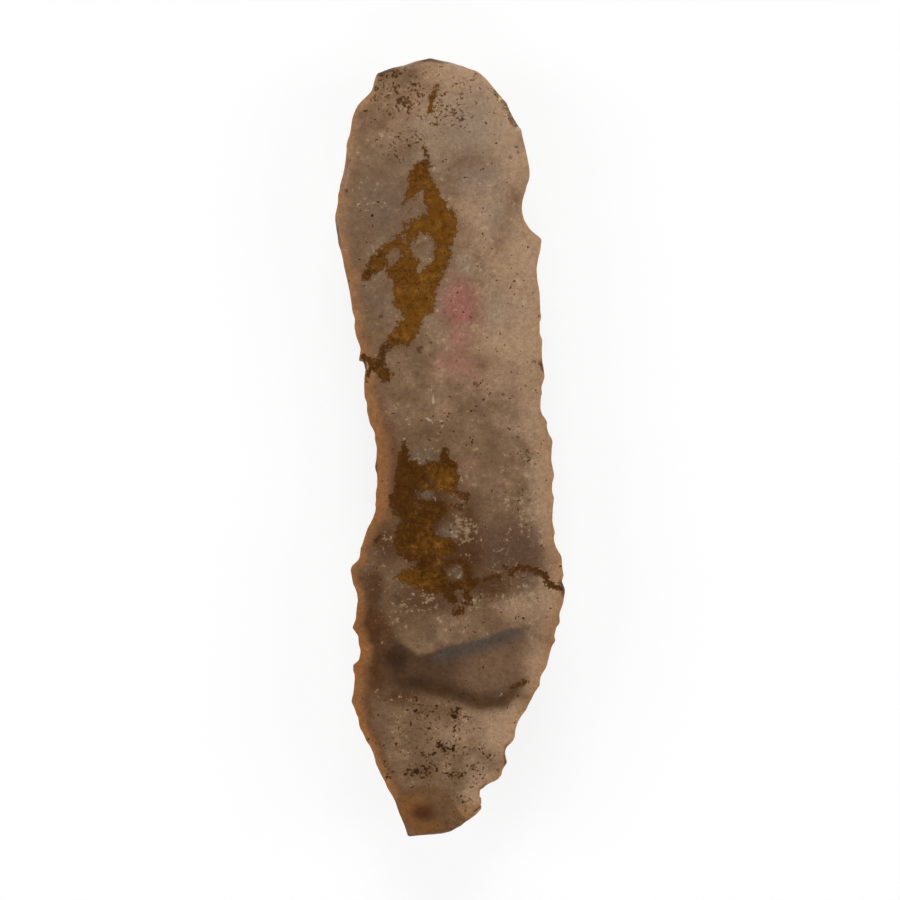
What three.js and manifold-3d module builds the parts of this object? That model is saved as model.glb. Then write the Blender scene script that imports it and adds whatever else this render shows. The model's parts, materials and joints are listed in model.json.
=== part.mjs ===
// A crested blade: one long flint flake struck from the prepared ridge of a core.
// It lies with its smooth ventral face up and its worked crest down, in millimetres, +Z up.
// +Y runs from the thin distal tip to the rounded proximal end, where the blow fell, and +X to the right.
// The origin is the middle of its bounding box, on the surface that it rests on.
import * as THREE from "three";
import { mergeVertices } from "three/addons/utils/BufferGeometryUtils.js";
import Module from "manifold-3d";

// Driving dimensions of the stone
const length = 96;
const width = 28.2;
const thickness = 9.3; // at mid-length, from the ventral face to the worn crest

// Ventral face
const bowRise = 1.1; // how far both ends lift, because a long blade curves
const camber = 0.5; // fall of the face from its middle line to its margins
const bulbHeight = 0.55;
const bulbRadius = 6.5;
const bulbDistance = 9; // from the point of percussion to the top of the bulb
const rippleHeight = 0.06;
const ripplePitch = 7.5;
const waveHeight = 0.34; // the one strong undulation near the distal end
const waveRadius = 74;
const waveBreadth = 3.2;

// Crest
const restWear = 0.4; // how much of the crest's edge is worn off where the stone rests
const edgeAllowance = 0.14; // how far the blank's margins stand out, for the scars to bite into
const overrun = 2; // how far a cutting body passes the surface that it cuts

// Butt: the remnant of the striking platform
const percussionShare = 0.985; // where along the left margin the blow fell
const buttSpanShare = 0.006; // of the length, over which the shoulder's direction is taken
const buttDepth = 0.15; // how far its flat lies inside the rounded shoulder
const buttLean = 0.2; // radians that it leans back from square

// Flake scars: each is dished out by the rounded end of an egg-shaped body
const biteRatio = 4; // how deep that body is, over the depth that it is bitten into the stone
const capAngle = Math.PI / 3; // how far round from its end the body is modelled
const scarRings = 4;
const scarSides = 20;
const nickRings = 3;
const nickSides = 12;

// Left margin, from the distal tip: shares of the length, then of half the width.
const leftMarginShares = [
  [0, -0.36], [0.014, -0.39], [0.031, -0.44], [0.046, -0.475], [0.066, -0.555], [0.087, -0.62],
  [0.107, -0.69], [0.13, -0.745], [0.151, -0.835], [0.163, -0.88], [0.175, -0.85], [0.195, -0.83],
  [0.214, -0.835], [0.229, -0.905], [0.24, -0.82], [0.252, -0.765], [0.264, -0.845], [0.275, -0.885],
  [0.288, -0.87], [0.302, -0.79], [0.317, -0.83], [0.332, -0.85], [0.347, -0.86], [0.358, -0.82],
  [0.371, -0.77], [0.387, -0.735], [0.407, -0.685], [0.432, -0.635], [0.45, -0.665], [0.465, -0.66],
  [0.497, -0.63], [0.514, -0.655], [0.535, -0.7], [0.571, -0.745], [0.597, -0.74], [0.606, -0.755],
  [0.615, -0.81], [0.627, -0.775], [0.641, -0.81], [0.667, -0.84], [0.696, -0.865], [0.726, -0.91],
  [0.754, -0.95], [0.773, -0.995], [0.792, -1.01], [0.812, -0.975], [0.834, -0.97], [0.855, -0.945],
  [0.874, -0.92], [0.892, -0.895], [0.905, -0.865], [0.924, -0.845], [0.941, -0.795], [0.958, -0.685],
  [0.973, -0.65], [0.982, -0.62], [0.986, -0.57], [0.991, -0.42], [0.997, -0.3], [1, -0.21],
];
// Right margin, with the deep notch high up and the broken corner near the tip.
const rightMarginShares = [
  [0, -0.34], [0.003, -0.08], [0.009, 0.04], [0.018, 0.13], [0.03, 0.235], [0.039, 0.28],
  [0.046, 0.3], [0.054, 0.28], [0.06, 0.26], [0.064, 0.3], [0.068, 0.36], [0.076, 0.48],
  [0.082, 0.515], [0.092, 0.495], [0.108, 0.475], [0.116, 0.5], [0.12, 0.535], [0.13, 0.56],
  [0.147, 0.62], [0.165, 0.675], [0.181, 0.72], [0.197, 0.79], [0.214, 0.83], [0.233, 0.865],
  [0.25, 0.905], [0.262, 0.965], [0.281, 0.94], [0.288, 0.96], [0.304, 0.99], [0.323, 1],
  [0.34, 0.98], [0.358, 0.97], [0.372, 0.965], [0.384, 0.925], [0.4, 0.895], [0.426, 0.895],
  [0.442, 0.91], [0.458, 0.925], [0.474, 0.885], [0.503, 0.885], [0.52, 0.895], [0.532, 0.845],
  [0.542, 0.795], [0.564, 0.79], [0.587, 0.825], [0.61, 0.8], [0.64, 0.8], [0.659, 0.825],
  [0.672, 0.785], [0.696, 0.78], [0.726, 0.75], [0.748, 0.77], [0.763, 0.795], [0.771, 0.785],
  [0.782, 0.685], [0.795, 0.635], [0.81, 0.62], [0.821, 0.63], [0.837, 0.67], [0.851, 0.69],
  [0.866, 0.68], [0.883, 0.655], [0.901, 0.625], [0.918, 0.6], [0.934, 0.545], [0.946, 0.47],
  [0.964, 0.365], [0.976, 0.295], [0.986, 0.2], [0.992, 0.075], [0.997, -0.045], [1, -0.14],
];
// Where the crest runs: shares of the length, then of half the width. It winds, so the blade rests on it.
const crestPathShares = [
  [0, -0.365], [0.03, -0.26], [0.1, -0.12], [0.2, -0.14], [0.3, -0.2], [0.4, -0.02],
  [0.5, 0.16], [0.58, 0.14], [0.68, -0.1], [0.78, -0.24], [0.88, -0.2], [0.96, -0.16], [1, -0.17],
];
// How thick the stone is over the crest: shares of the length, then of the thickness at mid-length.
const thicknessShares = [
  [0, 0.08], [0.02, 0.22], [0.08, 0.39], [0.15, 0.63], [0.22, 0.89], [0.29, 1.02], [0.4, 1.005],
  [0.6, 1.005], [0.74, 1.03], [0.82, 0.94], [0.9, 0.76], [0.96, 0.54], [0.985, 0.35], [1, 0.11],
];
// How the flanks bulge: 1 is flat, and less stands fuller near the margin.
const leftFullnessShares = [[0, 1], [0.4, 0.95], [0.62, 0.9], [0.76, 0.8], [0.88, 0.75], [1, 1]];
const rightFullnessShares = [[0, 1], [0.3, 0.95], [0.7, 0.9], [0.86, 0.62], [0.95, 0.7], [1, 1]];

// Scars of the flakes struck from the crest, one row for each:
// where it starts on the crest, where it meets the margin and its half breadth, all shares of the length,
// then its depth, a share of the thickness.
const leftScarShares = [
  [0.082, 0.07, 0.03, 0.025], [0.125, 0.115, 0.032, 0.06], [0.178, 0.168, 0.04, 0.1],
  [0.236, 0.243, 0.026, 0.1], [0.287, 0.294, 0.044, 0.14], [0.352, 0.358, 0.032, 0.13],
  [0.43, 0.448, 0.06, 0.17], [0.503, 0.516, 0.028, 0.12], [0.548, 0.558, 0.036, 0.14],
  [0.6, 0.612, 0.026, 0.12], [0.66, 0.678, 0.05, 0.17], [0.727, 0.74, 0.03, 0.13],
  [0.782, 0.796, 0.038, 0.15], [0.85, 0.87, 0.048, 0.15], [0.92, 0.945, 0.036, 0.1],
];
const rightScarShares = [
  [0.06, 0.052, 0.026, 0.02], [0.105, 0.09, 0.032, 0.055], [0.163, 0.153, 0.044, 0.09],
  [0.218, 0.205, 0.03, 0.1], [0.275, 0.268, 0.046, 0.15], [0.335, 0.33, 0.028, 0.11],
  [0.388, 0.383, 0.038, 0.14], [0.453, 0.455, 0.046, 0.16], [0.52, 0.528, 0.036, 0.13],
  [0.57, 0.576, 0.026, 0.11], [0.637, 0.647, 0.052, 0.17], [0.71, 0.728, 0.038, 0.14],
  [0.765, 0.8, 0.036, 0.15],
];
const scarCentreShare = 0.42; // of the way from crest to margin, where a scar is deepest
const scarReachShare = 0.67; // half a scar's length, as a share of that way

// Small scars that later blows left along the crest: place, half breadth and depth as above, and side.
const crestScarShares = [
  [0.21, 0.014, 0.05, -1], [0.262, 0.013, 0.05, -1], [0.36, 0.015, 0.05, 1],
  [0.405, 0.013, 0.04, 1], [0.475, 0.016, 0.05, -1], [0.545, 0.014, 0.045, 1], [0.585, 0.015, 0.05, -1],
  [0.7, 0.015, 0.05, -1], [0.74, 0.013, 0.045, 1], [0.82, 0.015, 0.045, -1], [0.885, 0.017, 0.04, -1],
];
const crestScarCentreShare = 0.14;
const crestScarReachShare = 0.26;

// Chips that took the ventral edge: place, half length and half breadth as shares of the length,
// depth as a share of the thickness, and the side.
const ventralChipShares = [
  [0.868, 0.042, 0.0085, 0.05, -1], [0.772, 0.026, 0.006, 0.04, -1], [0.934, 0.026, 0.013, 0.075, 1],
  [0.604, 0.01, 0.005, 0.035, -1],
];
const chipLean = 0.6; // radians from upright that a chip's surface faces outwards

// Grid of the blank
const stations = 112;
const ventralColumns = 9;
const flankColumns = 4;
const flankCrowding = 1.5; // above 1, the columns lie closer near the margin
const endCrowdingShare = 0.8; // how much closer the stations lie at the two ends

const wasm = await Module();
wasm.setup();

const halfWidth = width / 2;
const curveThrough = (rows) => {
  const curve = new THREE.CubicInterpolant(rows.map((row) => row[0]), rows.map((row) => row[1]), 1);
  return (share) => curve.evaluate(share)[0];
};
const leftMargin = curveThrough(leftMarginShares);
const rightMargin = curveThrough(rightMarginShares);
const crestPath = curveThrough(crestPathShares);
const thicknessAt = curveThrough(thicknessShares);
const leftFullness = curveThrough(leftFullnessShares);
const rightFullness = curveThrough(rightFullnessShares);

const alongAt = (share) => (share - 1 / 2) * length;
const bowAt = (share) => bowRise * (2 * share - 1) ** 2;
const percussion = new THREE.Vector2(leftMargin(percussionShare) * halfWidth, alongAt(percussionShare));

// Height of the ventral face, with its bow, camber, bulb, ripples and the one strong wave.
function ventralHeight(x, share) {
  const y = alongAt(share);
  const left = leftMargin(share) * halfWidth;
  const right = rightMargin(share) * halfWidth;
  const across = (2 * x - left - right) / (right - left);
  const distance = percussion.distanceTo(new THREE.Vector2(x, y));
  const fade = Math.min(1, distance / waveRadius);
  const bulb = bulbHeight * Math.exp(-(((distance - bulbDistance) / bulbRadius) ** 2));
  const ripple = rippleHeight * fade * Math.sin((2 * Math.PI * distance) / ripplePitch);
  const wave = waveHeight * Math.exp(-(((distance - waveRadius) / waveBreadth) ** 2));
  return thickness + bowAt(share) - camber * across ** 2 + bulb * (1 - across ** 2) + ripple - wave;
}

const marginPoint = (side, share) => {
  const x = (side < 0 ? leftMargin(share) : rightMargin(share)) * halfWidth + side * edgeAllowance;
  return new THREE.Vector3(x, alongAt(share), ventralHeight(x, share));
};
const crestPoint = (share) =>
  new THREE.Vector3(
    crestPath(share) * halfWidth,
    alongAt(share),
    bowAt(share) + (1 - thicknessAt(share)) * thickness - restWear,
  );

const fullnessAt = (side, share) => (side < 0 ? leftFullness(share) : rightFullness(share));

// A point on a flank, at a share t of the way from the margin to the crest.
const flankPoint = (margin, crest, t, fullness) =>
  new THREE.Vector3(
    THREE.MathUtils.lerp(margin.x, crest.x, t),
    THREE.MathUtils.lerp(margin.y, crest.y, t),
    THREE.MathUtils.lerp(margin.z, crest.z, t ** fullness),
  );

// One cross section of the blank: the ventral face from left to right, then both flanks back over the crest.
function sectionAt(share) {
  const left = marginPoint(-1, share);
  const right = marginPoint(1, share);
  const crest = crestPoint(share);
  const ring = [];
  for (let i = 0; i <= ventralColumns; i++) {
    const x = THREE.MathUtils.lerp(left.x, right.x, i / ventralColumns);
    ring.push(new THREE.Vector3(x, left.y, ventralHeight(x, share)));
  }
  const flank = (side, column) => {
    const t = (column / flankColumns) ** flankCrowding;
    return flankPoint(side < 0 ? left : right, crest, t, fullnessAt(side, share));
  };
  for (let i = 1; i < flankColumns; i++) ring.push(flank(1, i));
  ring.push(crest);
  for (let i = flankColumns - 1; i > 0; i--) ring.push(flank(-1, i));
  return ring;
}

// A closed solid through a row of rings that all have the same number of points.
function loft(rings) {
  const sides = rings[0].length;
  const points = rings.flat();
  const faces = [];
  for (let r = 0; r + 1 < rings.length; r++)
    for (let i = 0; i < sides; i++) {
      const a = r * sides + i;
      const b = r * sides + ((i + 1) % sides);
      faces.push(a, b, b + sides, a, b + sides, a + sides);
    }
  for (const [start, turned] of [[0, true], [(rings.length - 1) * sides, false]]) {
    const middle = points.length;
    const centre = new THREE.Vector3();
    for (let i = 0; i < sides; i++) centre.addScaledVector(points[start + i], 1 / sides);
    points.push(centre);
    for (let i = 0; i < sides; i++) {
      const a = start + i;
      const b = start + ((i + 1) % sides);
      faces.push(middle, turned ? b : a, turned ? a : b);
    }
  }
  const geometry = new THREE.BufferGeometry().setFromPoints(points);
  geometry.setIndex(faces);
  return geometry;
}

function solidOf(geometry) {
  const bare = geometry.clone();
  bare.deleteAttribute("normal");
  bare.deleteAttribute("uv");
  const merged = mergeVertices(bare);
  return new wasm.Manifold(
    new wasm.Mesh({
      numProp: 3,
      vertProperties: merged.attributes.position.array,
      triVerts: new Uint32Array(merged.index.array),
    }),
  );
}

// The rounded end of the egg-shaped body, one unit in radius, with a flat cone behind it.
function scoopTool(rings, sides) {
  const profile = [];
  for (let i = 0; i <= rings; i++) {
    const angle = (capAngle * i) / rings;
    profile.push(new THREE.Vector2(Math.sin(angle), -Math.cos(angle)));
  }
  profile[0].x = 0;
  profile.push(new THREE.Vector2(0, 0));
  return new THREE.LatheGeometry(profile, sides);
}
const scarTool = scoopTool(scarRings, scarSides);
const nickTool = scoopTool(nickRings, nickSides);

// A shallow scoop whose dished floor is centred at a point, with outward the way that it opens.
function scoop(tool, centre, outward, lengthways, halfLength, halfBreadth, depth) {
  const spread = Math.sqrt(1 - (1 - 1 / biteRatio) ** 2);
  const z = lengthways.clone().normalize();
  const y = outward.clone().addScaledVector(z, -outward.dot(z)).normalize();
  const x = new THREE.Vector3().crossVectors(y, z);
  const deep = biteRatio * depth;
  const place = new THREE.Matrix4().makeBasis(
    x.multiplyScalar(halfBreadth / spread),
    y.clone().multiplyScalar(deep),
    z.multiplyScalar(halfLength / spread),
  );
  place.setPosition(centre.clone().addScaledVector(y, deep - depth));
  return solidOf(tool.clone().applyMatrix4(place));
}

// The scar of a flake struck from the crest towards a margin.
function flankScar(side, crestShare, marginShare, breadthShare, depthShare, centreShare, reachShare) {
  const run = marginPoint(side, marginShare).sub(crestPoint(crestShare));
  const floor = (shift) =>
    flankPoint(
      marginPoint(side, marginShare + shift),
      crestPoint(crestShare + shift),
      1 - centreShare,
      fullnessAt(side, (crestShare + marginShare) / 2 + shift),
    );
  const along = floor(breadthShare).sub(floor(-breadthShare));
  const outward = along.cross(run).multiplyScalar(side);
  return scoop(
    scarTool,
    floor(0),
    outward,
    run,
    run.length() * reachShare,
    breadthShare * length,
    depthShare * thickness,
  );
}

function ventralChip(place, lengthShare, breadthShare, depthShare, side) {
  const edge = marginPoint(side, place);
  const outward = new THREE.Vector3(side * Math.sin(chipLean), 0, Math.cos(chipLean));
  const run = new THREE.Vector3(0, 1, 0);
  return scoop(
    nickTool,
    edge,
    outward,
    run,
    lengthShare * length,
    breadthShare * length,
    depthShare * thickness,
  );
}

// The striking platform, a flat across the shoulder left of the proximal end.
function buttCut() {
  const low = marginPoint(-1, percussionShare - buttSpanShare);
  const high = marginPoint(-1, percussionShare + buttSpanShare);
  const block = new THREE.BoxGeometry(width, overrun, 2 * thickness);
  block.translate(0, overrun / 2 - buttDepth, 0);
  block.rotateX(-buttLean);
  block.rotateZ(Math.atan2(high.y - low.y, high.x - low.x));
  const middle = marginPoint(-1, percussionShare);
  return solidOf(block.translate(middle.x, middle.y, middle.z));
}

// Everything below the table, which wears flats on the crest where the stone rests.
function tableCut() {
  const depth = restWear + overrun;
  const slab = new THREE.BoxGeometry(width + overrun, length + overrun, depth);
  return solidOf(slab.translate(0, 0, -depth / 2));
}

function bladeSolid() {
  const rings = [];
  for (let i = 0; i <= stations; i++) {
    const t = i / stations;
    rings.push(sectionAt(t - (endCrowdingShare * Math.sin(2 * Math.PI * t)) / (2 * Math.PI)));
  }
  let stone = solidOf(loft(rings));
  const cut = (tool) => {
    stone = stone.subtract(tool);
  };
  for (const [side, scars] of [[-1, leftScarShares], [1, rightScarShares]])
    for (const [crestShare, marginShare, breadthShare, depthShare] of scars)
      cut(
        flankScar(side, crestShare, marginShare, breadthShare, depthShare, scarCentreShare, scarReachShare),
      );
  for (const [place, breadthShare, depthShare, side] of crestScarShares)
    cut(
      flankScar(side, place, place, breadthShare, depthShare, crestScarCentreShare, crestScarReachShare),
    );
  for (const chip of ventralChipShares) cut(ventralChip(...chip));
  cut(buttCut());
  cut(tableCut());
  return stone;
}

function geometryOf(solid) {
  const mesh = solid.getMesh();
  const geometry = new THREE.BufferGeometry();
  geometry.setAttribute("position", new THREE.BufferAttribute(mesh.vertProperties, 3));
  geometry.setIndex(new THREE.BufferAttribute(mesh.triVerts, 1));
  geometry.computeVertexNormals();
  return geometry;
}

const flint = new THREE.MeshStandardMaterial({ color: 0x86705a, roughness: 0.5, metalness: 0 });
const stone = geometryOf(bladeSolid());
stone.computeBoundingBox();
const middle = stone.boundingBox.getCenter(new THREE.Vector3());
const blade = new THREE.Mesh(stone.translate(-middle.x, -middle.y, 0), flint);
blade.name = "blade";

const part = new THREE.Group();
part.add(blade);
export default part;
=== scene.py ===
"""A crested blade of grey-brown flint: its knapped surface, its patina and the picture it stands in.

The stone's shape comes from the CAD solid. Its facets are rounded between the arêtes, and its
margins, ripples, fissures and pits are worked into the mesh. The colours follow the stone: a
mottled skin, iron stains, dark specks, and a honey-coloured rim where the flint is thin: a painted
glow of the light that comes through it.
Lengths are in millimetres unless a name says otherwise. A place on the ventral face is written
in steps of the picture's 900-step frame, as (right, down) from its upper left corner.
"""

import json
import math

import bmesh
import bpy
import numpy as np
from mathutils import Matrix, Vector, kdtree

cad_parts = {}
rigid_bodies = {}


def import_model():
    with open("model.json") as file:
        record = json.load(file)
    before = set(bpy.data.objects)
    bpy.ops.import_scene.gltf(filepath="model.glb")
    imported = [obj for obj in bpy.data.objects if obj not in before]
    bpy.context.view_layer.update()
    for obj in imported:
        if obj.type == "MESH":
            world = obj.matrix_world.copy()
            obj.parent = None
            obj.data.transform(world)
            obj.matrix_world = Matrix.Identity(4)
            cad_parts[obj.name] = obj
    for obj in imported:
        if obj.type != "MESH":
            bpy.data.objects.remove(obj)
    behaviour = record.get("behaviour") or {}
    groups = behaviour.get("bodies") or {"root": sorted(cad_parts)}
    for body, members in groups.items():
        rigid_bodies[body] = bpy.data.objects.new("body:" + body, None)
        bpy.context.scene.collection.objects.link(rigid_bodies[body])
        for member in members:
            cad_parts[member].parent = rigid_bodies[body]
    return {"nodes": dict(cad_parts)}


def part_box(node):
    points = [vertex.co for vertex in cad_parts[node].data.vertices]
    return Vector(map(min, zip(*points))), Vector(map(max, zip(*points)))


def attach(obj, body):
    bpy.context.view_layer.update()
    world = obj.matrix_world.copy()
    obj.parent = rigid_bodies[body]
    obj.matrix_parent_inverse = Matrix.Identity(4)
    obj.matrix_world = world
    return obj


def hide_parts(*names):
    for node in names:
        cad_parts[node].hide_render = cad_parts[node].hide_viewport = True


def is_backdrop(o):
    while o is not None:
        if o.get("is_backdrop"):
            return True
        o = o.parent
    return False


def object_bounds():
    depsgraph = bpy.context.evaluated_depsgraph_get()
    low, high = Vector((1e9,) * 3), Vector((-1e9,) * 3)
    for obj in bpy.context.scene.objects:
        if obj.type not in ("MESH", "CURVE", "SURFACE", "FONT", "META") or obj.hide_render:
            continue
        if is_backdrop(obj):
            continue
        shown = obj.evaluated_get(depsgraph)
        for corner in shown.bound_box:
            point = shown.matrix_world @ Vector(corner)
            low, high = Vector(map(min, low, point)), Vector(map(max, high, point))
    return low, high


for leftover in list(bpy.data.objects):
    bpy.data.objects.remove(leftover)

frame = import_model()
cad_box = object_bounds()

MM = 0.001  # metres to a millimetre
LOW, HIGH = (np.array(corner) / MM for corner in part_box("blade"))

# The picture's frame
FRAME_STEPS = 900
STONE_STEPS = 777  # from the tip to the proximal end
STONE_TOP_STEP = 59
STEP = (HIGH[1] - LOW[1]) / STONE_STEPS
CENTRE_RIGHT = FRAME_STEPS / 2
CENTRE_DOWN = STONE_TOP_STEP + STONE_STEPS / 2
MIDDLE_RIGHT = 440  # the stone's own middle line

# How finely the stone is meshed
WELD = 0.001
SLIVER = 0.02  # shorter edges are merged away
CREASE = math.radians(17)  # an arête turns by more than this, a facet by less
EDGE_START = 3.2
EDGE_COARSE = 0.51
EDGE_FINE = 0.31  # near the margins
MARGIN_ZONE = 1.6
MARGIN_LEVEL = 0.7 * HIGH[2]  # no part of the outline lies lower
EDGE_SHRINK = 0.7
SMOOTHINGS = 60
ARETE_SMOOTHINGS = 6
MARGIN_SMOOTHINGS = 10
DIRECTION_SMOOTHINGS = 12
SMOOTHING_PULLS = (0.55, -0.57)  # towards the neighbours and back, so that nothing shrinks
SHARP_FROM = math.radians(38)

SEED = 7

# Where the blow fell, on the left shoulder of the proximal end
PERCUSSION = (393, 71)

# Where two scars leave a thin sliver at the margin, it has broken back:
# (from down, to down, right, side)
BROKEN_BACK = [(658, 676, 353, -1), (789.5, 797, 479.8, 1), (797, 810, 481.3, 1)]
# A lobe of the margin that is a little wider: from down, to down, from right, to right, by how much
WIDER_LOBE = (797, 810, 468, 477, 2.5)
# Past this place along the stone the distal end has no sliver lower than a slope,
# given by its height there and its rise in a millimetre
HANGING_FROM, HANGING_LEVEL, HANGING_RISE = -47.15, 8.6, 0.7

# The upward part of the normal where a surface begins to count as ventral, upper or under side,
# and where it fully does
VENTRAL_TILT = (0.6, 0.93)
UPPER_TILT = (0.1, 0.5)
UNDER_TILT = (0.05, -0.2)
RIGHT_TILT = (-0.05, 0.25)  # the same for the right flank and the normal's part to the right
LOWEST_SHARE = 0.06  # of a scar's points: the ones beside the place it was struck from
VENTRAL_FAN, FLANK_FAN = 90, 16  # how many fissures fit in a radian
OUTSIDE = 30  # mm, further than any mark reaches
TINY = 1e-6


def on_stone(right, down):
    """The place on the stone, in mm, of a place in the picture's frame."""
    return (right - CENTRE_RIGHT) * STEP, (CENTRE_DOWN - down) * STEP


def in_frame(points):
    """The places in the picture's frame, as (right, down), of points on the stone."""
    return np.stack([CENTRE_RIGHT + points[:, 0] / STEP, CENTRE_DOWN - points[:, 1] / STEP], 1)


def hex_colour(text):
    """An sRGB hex value as linear red, green, blue and alpha."""
    parts = [int(text[i : i + 2], 16) / 255 for i in (1, 3, 5)]
    return (*[c / 12.92 if c <= 0.04045 else ((c + 0.055) / 1.055) ** 2.4 for c in parts], 1.0)


def add(tree, kind, settings, inputs, output=0):
    """Adds a node, sets it up, links its inputs and gives back one of its outputs."""
    node = tree.nodes.new(kind)
    for name, value in settings.items():
        setattr(node, name, value)
    sockets = [socket for socket in node.inputs if socket.enabled]
    named = inputs if isinstance(inputs, dict) else dict(enumerate(inputs))
    for key, value in named.items():
        socket = sockets[key] if isinstance(key, int) else next(s for s in sockets if s.name == key)
        if isinstance(value, bpy.types.NodeSocket):
            tree.links.new(value, socket)
        else:
            socket.default_value = value
    shown = [socket for socket in node.outputs if socket.enabled]
    if not shown:
        return None
    return shown[output] if isinstance(output, int) else next(s for s in shown if s.name == output)


# ---------------------------------------------------------------- the stone's shape


def is_outline(edge):
    """True where the stone's upper and under sides meet."""
    tilts = [face.normal.z for face in edge.link_faces]
    return min(tilts) < 0 < max(tilts) and not edge.smooth and edge.verts[0].co.z > MARGIN_LEVEL


def outline_tree(mesh):
    """A search tree of points along the stone's outline, seen from above."""
    mesh.normal_update()
    places = [edge.verts[0].co.lerp(edge.verts[1].co, share)
              for edge in mesh.edges if is_outline(edge) for share in (0, 0.5, 1)]
    tree = kdtree.KDTree(len(places))
    for number, place in enumerate(places):
        tree.insert((place.x, place.y, 0), number)
    tree.balance()
    return tree


def mark_scars(mesh):
    """Numbers the facets that arêtes enclose, one number for each flake scar."""
    layer = mesh.faces.layers.int.new("Scar")
    number = 0
    for start in mesh.faces:
        if start[layer]:
            continue
        number += 1
        start[layer] = number
        todo = [start]
        while todo:
            for edge in todo.pop().edges:
                if not edge.smooth:
                    continue
                for face in edge.link_faces:
                    if not face[layer]:
                        face[layer] = number
                        todo.append(face)


def close_slivers(mesh):
    """Merges the ends of the shortest edges wherever the skin stays closed round them."""
    for edge in [edge for edge in mesh.edges if edge.calc_length() < SLIVER]:
        if not edge.is_valid or edge.calc_length() >= SLIVER:
            continue
        start, end = edge.verts
        near_start, near_end = ({e.other_vert(vert) for e in vert.link_edges} for vert in edge.verts)
        shared = near_start & near_end
        if len(shared) == 2 and all(len(vert.link_edges) > 3 for vert in shared):
            bmesh.ops.pointmerge(mesh, verts=(start, end), merge_co=(start.co + end.co) / 2)


def fine_stone():
    """The CAD solid in mm, merged, its arêtes marked, and divided until its edges are short."""
    mesh = bmesh.new()
    mesh.from_mesh(frame["nodes"]["blade"].data)
    bmesh.ops.scale(mesh, vec=(1 / MM,) * 3, verts=mesh.verts)
    bmesh.ops.remove_doubles(mesh, verts=mesh.verts[:], dist=WELD)
    close_slivers(mesh)
    for edge in mesh.edges:
        edge.smooth = edge.calc_face_angle(0) < CREASE
    mark_scars(mesh)
    outline = outline_tree(mesh)
    limit = EDGE_START
    while limit > EDGE_FINE:
        limit = max(limit * EDGE_SHRINK, EDGE_FINE)
        long_edges = []
        for edge in mesh.edges:
            length = edge.calc_length()
            if length <= limit:
                continue
            if length <= EDGE_COARSE:
                middle = (edge.verts[0].co + edge.verts[1].co) / 2
                if outline.find((middle.x, middle.y, 0))[2] > MARGIN_ZONE:
                    continue
            long_edges.append(edge)
        bmesh.ops.subdivide_edges(mesh, edges=long_edges, cuts=1)
        many = [face for face in mesh.faces if len(face.verts) > 3]
        bmesh.ops.triangulate(mesh, faces=many, quad_method="SHORT_EDGE")
    return mesh


def neighbour_mean(pairs, values):
    """The mean of each point's neighbours along those edges, and how many it has."""
    count = len(values)
    ends = np.concatenate([pairs[:, 0], pairs[:, 1]])
    others = np.concatenate([pairs[:, 1], pairs[:, 0]])
    number = np.bincount(ends, minlength=count)
    total = np.stack([np.bincount(ends, column[others], count) for column in values.T], 1)
    return total / np.maximum(number, 1)[:, None], number


def rounded(points, edges, creased, on_outline):
    """The points with facets rounded between the arêtes, and the arêtes' and margins' own corners eased."""
    points = points.copy()
    folds, margins = edges[creased], edges[on_outline]
    fold_number, margin_number = (neighbour_mean(pairs, points)[1] for pairs in (folds, margins))
    for pairs, chosen, times in [(folds, (fold_number == 2) & (margin_number == 0), ARETE_SMOOTHINGS),
                                 (margins, margin_number >= 2, MARGIN_SMOOTHINGS),
                                 (edges, fold_number == 0, SMOOTHINGS)]:
        for _ in range(times):
            for pull in SMOOTHING_PULLS:
                points[chosen] += pull * (neighbour_mean(pairs, points)[0] - points)[chosen]
    return np.clip(points, LOW, HIGH)


# ---------------------------------------------------------------- fields over the stone


def lobes(spots, rows):
    """How far each spot is inside the nearest of some rounded lobes, in steps; below 0 is outside.
    A row gives a lobe's two ends, its radius at the first end and its radius at the second."""
    best = np.full(len(spots), -OUTSIDE / STEP)
    for right, down, to_right, to_down, radius, to_radius in rows:
        start, run = np.array((right, down)), np.array((to_right - right, to_down - down))
        offset = spots - start
        share = np.clip(offset @ run / max(run @ run, TINY), 0, 1)
        gap = np.linalg.norm(offset - share[:, None] * run, axis=1)
        best = np.maximum(best, radius + (to_radius - radius) * share - gap)
    return best


def patches(spots, rows):
    """A soft mask of some oval patches. A row gives a patch's middle, half sizes and strength."""
    total = np.zeros(len(spots))
    for right, down, half_right, half_down, strength in rows:
        reach = ((spots - (right, down)) / (half_right, half_down)) ** 2
        total = np.maximum(total, strength * np.exp(-reach.sum(1)))
    return total


def smoothstep(low, high, values):
    share = np.clip((values - low) / (high - low), 0, 1)
    return share * share * (3 - 2 * share)


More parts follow.
